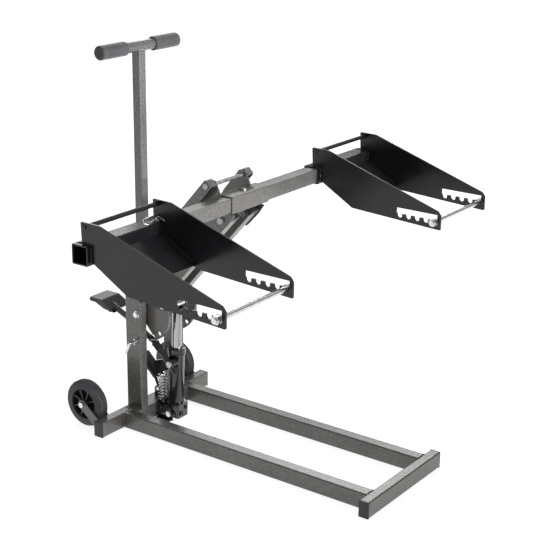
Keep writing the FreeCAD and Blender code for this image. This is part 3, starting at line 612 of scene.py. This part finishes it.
def frame_welds():
    """Beads where the rails, cross tubes, posts, braces and push bar meet."""
    runs = []
    for side in (-1, 1):
        o = side * RAIL_OUT
        i = side * RAIL_IN
        runs.append(((o, REAR_Y, 0.003), (o, REAR_Y, TUBE_H - 0.002)))
        runs.append(((i, CROSS_Y0, 0.003), (i, CROSS_Y0, TUBE_H - 0.002)))
        runs.append(((o, REAR_Y, TUBE_H - 0.0004), (i, REAR_Y, TUBE_H - 0.0004)))
        runs.append(((i, CROSS_Y0, TUBE_H - 0.0004), (i, POST_Y1, TUBE_H - 0.0004)))
        for x in (o, i):
            runs.append(((x, RAIL_FRONT, 0.003), (x, RAIL_FRONT, TUBE_H - 0.002)))
        runs.append(((o, RAIL_FRONT, TUBE_H - 0.0004), (i, RAIL_FRONT, TUBE_H - 0.0004)))
        x0, x1 = sorted((side * POST_IN, side * POST_OUT))
        runs += ring_runs(x0, x1, CROSS_Y0 + 0.0012, POST_Y1 - 0.0012, TUBE_H + 0.0004)
        p = side * POST_IN
        for z in BRACE_Z:
            runs.append(((p, BRACE_Y0, z + 0.002), (p, BRACE_Y0, z + BRACE_H - 0.002)))
            runs.append(((p, BRACE_Y0, z + BRACE_H), (p, POST_Y1 - 0.002, z + BRACE_H)))
    h = HANDLE_HALF - 0.001
    top = HANDLE_Z - BAR_R * 0.55
    runs += ring_runs(-h, h, HANDLE_Y - h, HANDLE_Y + h, top)
    weld_runs("frame_weld_beads", runs, 0.0024, MATS["frame_grey"], "base")


def carriage_welds():
    """Beads between the ears and the centre sleeve."""
    runs = []
    for side in (-1, 1):
        for x in (side * EAR_IN, side * EAR_OUT):
            back = BEAM_Y + SLEEVE_HALF
            low = BEAM_Z - SLEEVE_HALF
            if abs(x) > abs(SLEEVE_X0) and side < 0:
                continue
            runs.append(((x, back, low + 0.004), (x, back, BEAM_Z + SLEEVE_HALF - 0.004)))
            runs.append(((x, back - 0.003, low), (x, BEAM_Y - SLEEVE_HALF + 0.003, low)))
    weld_runs("carriage_weld_beads", runs, 0.0022, MATS["frame_grey"], "carriage")


def pan_welds(side, sign):
    """Beads round a pan's sleeve and along the edges of its floor sheet."""
    h = PAN_SLEEVE_HALF
    body = "pan_" + side
    runs = []
    for x in (PAN_OUT, PAN_OUT - PAN_T, PAN_IN + PAN_T, PAN_IN):
        x *= sign
        y0, y1 = BEAM_Y - h, BEAM_Y + h
        z0, z1 = BEAM_Z - h, BEAM_Z + h
        runs.append(((x, y0, z0 + 0.004), (x, y0, z1 - 0.004)))
        runs.append(((x, y0 + 0.004, z1), (x, y1 - 0.006, z1)))
        runs.append(((x, y0 + 0.004, z0), (x, y1 - 0.024, z0)))
    weld_runs(body + "_sleeve_weld", runs, 0.0020, MATS["pan_black"], body)
    y_back = BEAM_Y - h
    y_front = BEAM_Y - PAN_SHEET_REACH
    z_back = BEAM_Z + 0.010 + PAN_SLOPE * (y_back - BEAM_Y - 0.002)
    z_front = BEAM_Z + 0.010 + PAN_SLOPE * (y_front - BEAM_Y - 0.002)
    runs = []
    for x in (PAN_IN + PAN_T, PAN_OUT - PAN_T):
        runs.append(((x * sign, y_back - 0.002, z_back), (x * sign, y_front + 0.002, z_front)))
    weld_runs(body + "_sheet_weld", runs, 0.0015, MATS["pan_black"], body)


# ---- small fittings ----------------------------------------------------------------------------
def arm_axis(along, across):
    """Point beside the line from the lower pivot to the beam pivot, measured from the beam pivot."""
    dy = BEAM_PIVOT[0] - ARM_PIVOT[0]
    dz = BEAM_PIVOT[1] - ARM_PIVOT[1]
    n = math.hypot(dy, dz)
    return BEAM_PIVOT[0] + dy / n * along + dz / n * across, BEAM_PIVOT[1] + dz / n * along - dy / n * across


def arm_end_caps():
    """Black plastic caps pressed over the front ends of the lift arms."""
    parts = []
    out = 0.0012
    for side in (-1, 1):
        x0, x1 = sorted((side * (ARM_IN - out), side * (ARM_OUT + out)))
        pts = [arm_axis(0.014, -ARM_HALF - out), arm_axis(ARM_TOE + out, -ARM_HALF - out),
               arm_axis(ARM_TOE - 0.0015, -0.004), arm_axis(0.019, 0.009), arm_axis(0.014, 0.010)]
        parts.append(block(x0, x1, pts))
    verts, faces = merged(parts)
    cap = new_piece("arm_end_caps", verts, faces, MATS["cap_plastic"], "lift_arms")
    soften(cap, 0.0015)


def leaned(x, dy, z):
    """Point of the upright jack (dy from its axis) after it leans forward about the floor line."""
    c = math.cos(JACK_LEAN)
    s = math.sin(JACK_LEAN)
    return Vector((x, JACK_Y + dy * c - z * s, dy * s + z * c))


def jack_fittings():
    """Gland ring and wiper on the cylinder, plugs and unions on its base."""
    up = leaned(0, 0, 1) - leaned(0, 0, 0)
    foot = leaned(0, 0, 0)
    r = CYL_R
    z = CYL_TOP
    gland = [(z - 0.020, r - 0.001), (z - 0.020, r + 0.0022), (z - 0.0185, r + 0.0030),
             (z - 0.0155, r + 0.0030), (z - 0.014, r + 0.0020), (z - 0.0125, r + 0.0020),
             (z - 0.0110, r + 0.0034), (z - 0.0010, r + 0.0034), (z + 0.0008, r + 0.0018),
             (z + 0.0010, 0.0185), (z + 0.0030, 0.0180), (z + 0.0030, 0.0164), (z - 0.0010, 0.0164)]
    verts, faces = lathe(gland, foot, up, 64)
    new_piece("jack_gland", verts, faces, MATS["jack_black"], "base", 30.0)
    parts = []
    plugs = [((-0.026, -0.012, 0.022), (-1, 0, 0), 0.0080), ((-0.026, 0.012, 0.036), (-1, 0, 0), 0.0065),
             ((-0.010, -0.031, 0.024), (0, -1, 0), 0.0085), ((0.012, -0.031, 0.040), (0, -1, 0), 0.0060),
             ((-0.034, 0.035, 0.040), (-1, 0, 0), 0.0070)]
    for (x, dy, h), axis, radius in plugs:
        origin = leaned(x, dy, h)
        profile = [(-0.002, 0.0008), (-0.002, radius), (0.0035, radius), (0.0045, radius * 0.85),
                   (0.0045, radius * 0.5), (0.0025, radius * 0.42), (0.0025, 0.0008)]
        parts.append(lathe(profile, origin, axis, 6))
        collar = [(-0.002, 0.0008), (-0.002, radius * 1.25), (0.0008, radius * 1.25), (0.0008, 0.0008)]
        parts.append(lathe(collar, origin, axis, 24))
    verts, faces = merged(parts)
    new_piece("jack_plugs", verts, faces, MATS["jack_black"], "base", 30.0)


def lever_collars():
    """Socket and clamp collars on the lower part of the pump lever."""
    low = Vector((LEVER_X, REAR_Y - 0.112, 0.174))
    high = Vector((LEVER_X, REAR_Y - 0.026, 0.261))
    axis = high - low
    length = axis.length
    parts = []
    for a, b, r in ((0.62, 0.67, 0.0130), (0.67, 0.90, 0.0116), (0.90, 0.96, 0.0128)):
        profile = [(a * length, 0.0095), (a * length, r - 0.0008), (a * length + 0.0008, r),
                   (b * length - 0.0008, r), (b * length, r - 0.0008), (b * length, 0.0095)]
        parts.append(lathe(profile, low, axis, 40))
    verts, faces = merged(parts)
    new_piece("lever_collars", verts, faces, MATS["jack_black"], "pump_handle", 30.0)


def pin_lanyard(side, sign):
    """Split ring and short wire that keep a hitch pin on its pan."""
    x = sign * (PAN_IN + PAN_T + 0.0045)
    y = BEAM_Y - 0.020
    z = BEAM_Z + PAN_SLEEVE_HALF + 0.0075
    loop = []
    for k in range(25):
        a = 2 * math.pi * k / 24
        tilt = sign * 0.0018 * math.sin(a)
        loop.append(Vector((x + tilt, y + PIN_RING_R * math.cos(a), z + PIN_RING_R * math.sin(a))))
    parts = [sweep(loop, 0.0009, 8)]
    tail = rounded_path([(x, y - PIN_RING_R, z), (x + sign * 0.003, y - 0.014, z + 0.003),
                         (x + sign * 0.002, y - 0.022, z - 0.004)], 0.006)
    parts.append(sweep(tail, 0.0011, 8))
    verts, faces = merged(parts)
    new_piece("pan_" + side + "_pin_ring", verts, faces, MATS["zinc"], "pan_" + side)


def build_fittings():
    for side, sign in (("left", -1), ("right", 1)):
        wheel(side, sign * WHEEL_X)
        pan_welds(side, sign)
        pin_lanyard(side, sign)
    lever_collars()
    pedal_ribs()
    frame_welds()
    carriage_welds()
    arm_end_caps()
    jack_fittings()


dress_cad()
build_fittings()


# ---- stage ------------------------------------------------------------------------------
def floor_material(name):
    """Evenly lit white studio sweep."""
    t = Tree(name)
    t.colour(t.ramp(t.noise(3.0, 2.0), [(0.3, 0.49), (0.7, 0.51)]))
    t.put(Roughness=0.9, Emission_Color=(1.0, 1.0, 1.0, 1.0), Emission_Strength=0.80)
    return t.mat


# the studio: dim walls up to about 16 degrees, a soft bright ceiling from about 24 degrees
SKY_DARK_TO = 0.27
SKY_LIGHT_FROM = 0.41
SKY_WALL = (0.13, 0.13, 0.13)
SKY_CEILING = (0.55, 0.55, 0.55)


def build_stage():
    mesh = bpy.data.meshes.new("studio_floor")
    size = FLOOR_HALF
    corners = [(-size, -size, 0), (size, -size, 0), (size, size, 0), (-size, size, 0)]
    mesh.from_pydata(corners, [], [(0, 1, 2, 3)])
    floor = bpy.data.objects.new("studio_floor", mesh)
    bpy.context.scene.collection.objects.link(floor)
    mesh.materials.append(floor_material("floor_white"))

    world = bpy.data.worlds.new("studio_world")
    bpy.context.scene.world = world
    world.use_nodes = True
    nt = world.node_tree
    bg = nt.nodes["Background"]
    split = nt.nodes.new("ShaderNodeSeparateXYZ")
    nt.links.new(nt.nodes.new("ShaderNodeTexCoord").outputs["Generated"], split.inputs[0])
    sky = nt.nodes.new("ShaderNodeValToRGB")
    sky.color_ramp.elements[0].position = SKY_DARK_TO
    sky.color_ramp.elements[0].color = (*SKY_WALL, 1.0)
    sky.color_ramp.elements[1].position = SKY_LIGHT_FROM
    sky.color_ramp.elements[1].color = (*SKY_CEILING, 1.0)
    nt.links.new(split.outputs["Z"], sky.inputs["Fac"])
    nt.links.new(sky.outputs["Color"], bg.inputs["Color"])
    bpy.context.scene.view_settings.view_transform = "Standard"


def area_light(name, place, target, width, height, power, spread=180.0):
    data = bpy.data.lights.new(name, "AREA")
    data.shape = "RECTANGLE"
    data.size = width
    data.size_y = height
    data.energy = power
    data.spread = math.radians(spread)
    lamp = bpy.data.objects.new(name, data)
    lamp.location = place
    aim = Vector(target) - Vector(place)
    lamp.rotation_euler = aim.to_track_quat("-Z", "Y").to_euler()
    bpy.context.scene.collection.objects.link(lamp)


# the view: place, viewing direction and up, with the lens that gives the same perspective
CAM_PLACE = (-3.0401, -2.3037, 1.8254)
CAM_RIGHT = (0.58644, -0.80992, 0.01106)
CAM_UP = (0.25335, 0.19637, 0.94724)
CAM_FORWARD = (0.76935, 0.55269, -0.32035)
CAM_LENS = 88.65


def build_camera():
    data = bpy.data.cameras.new("photo_camera")
    data.lens = CAM_LENS
    data.sensor_width = 36.0
    data.sensor_fit = "HORIZONTAL"
    cam = bpy.data.objects.new("photo_camera", data)
    bpy.context.scene.collection.objects.link(cam)
    r, u, f = Vector(CAM_RIGHT), Vector(CAM_UP), Vector(CAM_FORWARD)
    m = Matrix.Identity(4)
    for k in range(3):
        m[k][0] = r[k]
        m[k][1] = u[k]
        m[k][2] = -f[k]
        m[k][3] = CAM_PLACE[k]
    cam.matrix_world = m
    bpy.context.scene.camera = cam


build_stage()
area_light("key_front", (0.5, -4.4, 1.75), (0, 0, 1.02), 1.5, 0.5, 15, 28.0)
area_light("back_panel", (4.6, 3.4, 3.35), (0, 0, 0.1), 4.4, 0.75, 78)
area_light("rim_left", (-3.2, 1.6, 2.6), (0, 0, 0.5), 1.6, 1.2, 3)
build_camera()
